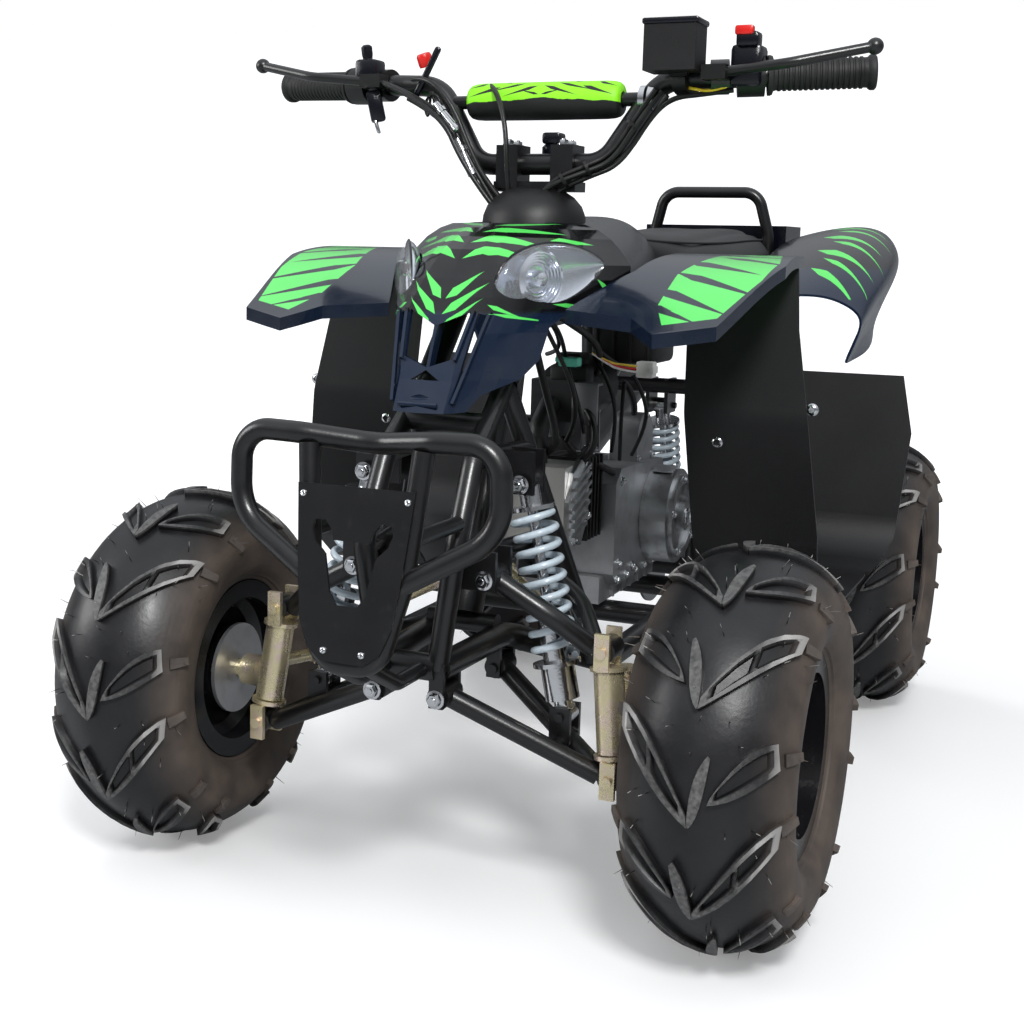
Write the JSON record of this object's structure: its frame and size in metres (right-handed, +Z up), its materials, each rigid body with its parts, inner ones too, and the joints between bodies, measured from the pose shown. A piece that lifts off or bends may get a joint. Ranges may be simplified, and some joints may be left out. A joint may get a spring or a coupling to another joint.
{
  "type": "quad bike",
  "caption": "Small petrol sport quad bike with balloon tyres, steered front wheels on double arms, a tubular bumper, open engine, padded seat and grab hoop.",
  "frame": {"origin": "on the floor, under the middle of the box around the whole quad", "axes": "+Z up, the quad faces -Y, its own left side is +X"},
  "size_m": [0.724, 1.2507, 0.8336],
  "materials": {
    "tyre": "satin",
    "rim": "satin",
    "zinc": "satin",
    "cast_alloy": "satin",
    "steel": "satin",
    "frame_paint": "satin",
    "chrome": "polished",
    "spring": "gloss",
    "gloss_black": "gloss",
    "dull_black": "matte",
    "lamp": "clear",
    "vinyl": "satin",
    "exhaust_paint": "satin",
    "foam": "matte",
    "grip": "matte",
    "lever": "satin",
    "cable": "satin"
  },
  "bodies": {
    "chassis": {"kingpin_brackets": "zinc", "upper_arms": "frame_paint", "lower_arms": "frame_paint", "shock_absorbers": "chrome", "shock_springs": "spring", "frame": "frame_paint", "frame_front": "frame_paint", "seat_rails": "frame_paint", "front_bumper": "frame_paint", "bumper_plate": "frame_paint", "nose_cowl": "gloss_black", "headlamps": "lamp", "front_fenders": "gloss_black", "mudguards": "dull_black", "tank_cover": "gloss_black", "seat": "vinyl", "rear_fender": "gloss_black", "grab_bar": "frame_paint", "rear_rack": "cast_alloy", "crankcase": "cast_alloy", "cylinder": "cast_alloy", "engine_covers": "cast_alloy", "carburettor": "cast_alloy", "exhaust": "exhaust_paint", "footrests": "frame_paint", "swingarm": "frame_paint", "chain": "steel"},
    "steering": {"steering_column": "frame_paint", "handlebar": "frame_paint", "bar_pad": "foam", "grips": "grip", "hand_levers": "lever", "brake_reservoir": "dull_black", "control_switches": "dull_black", "control_cables": "cable"},
    "knuckle_left": {"knuckle_left": "zinc", "brake_plate_left": "cast_alloy"},
    "knuckle_right": {"knuckle_right": "zinc", "brake_plate_right": "cast_alloy"},
    "front_wheel_left": {"front_tyre_left": "tyre", "front_rim_left": "rim"},
    "front_wheel_right": {"front_tyre_right": "tyre", "front_rim_right": "rim"},
    "rear_wheels": {"rear_axle": "steel", "rear_tyres": "tyre", "rear_rims": "rim"},
    "tie_rod_left": {"tie_rod_left": "zinc"},
    "tie_rod_right": {"tie_rod_right": "zinc"}
  },
  "joints": [
    {"name": "steering_turn", "type": "hinge", "parent": "chassis", "child": "steering", "pos_m": [0, -0.369, 0.262], "axis": [0, 0.3803, 0.9249], "range_deg": [-28, 28]},
    {"name": "knuckle_left_turn", "type": "hinge", "parent": "chassis", "child": "knuckle_left", "pos_m": [0.1755, -0.4335, 0.204], "axis": [-0.1133, 0.0927, 0.9892], "range_deg": [-24, 24]},
    {"name": "knuckle_right_turn", "type": "hinge", "parent": "chassis", "child": "knuckle_right", "pos_m": [-0.1755, -0.4335, 0.204], "axis": [0.1133, 0.0927, 0.9892], "range_deg": [-24, 24]},
    {"name": "tie_rod_left_turn", "type": "hinge", "parent": "steering", "child": "tie_rod_left", "pos_m": [0.015, -0.29697, 0.29519], "axis": [0, 0.3803, 0.9249], "range_deg": [-33, 33]},
    {"name": "tie_rod_right_turn", "type": "hinge", "parent": "steering", "child": "tie_rod_right", "pos_m": [-0.015, -0.29697, 0.29519], "axis": [0, 0.3803, 0.9249], "range_deg": [-33, 33]},
    {"name": "front_wheel_left_spin", "type": "hinge", "parent": "knuckle_left", "child": "front_wheel_left", "pos_m": [0.29, -0.405, 0.183], "axis": [1, 0, 0], "continuous": true},
    {"name": "front_wheel_right_spin", "type": "hinge", "parent": "knuckle_right", "child": "front_wheel_right", "pos_m": [-0.29, -0.405, 0.183], "axis": [1, 0, 0], "continuous": true},
    {"name": "rear_wheels_spin", "type": "hinge", "parent": "chassis", "child": "rear_wheels", "pos_m": [0, 0.445, 0.183], "axis": [1, 0, 0], "continuous": true}
  ],
  "couplings": [
    {"joint": "knuckle_left_turn", "follows": "steering_turn", "ratio": 0.84},
    {"joint": "knuckle_right_turn", "follows": "steering_turn", "ratio": 0.84},
    {"joint": "tie_rod_left_turn", "follows": "steering_turn", "ratio": -1.14},
    {"joint": "tie_rod_right_turn", "follows": "steering_turn", "ratio": -1.14}
  ]
}
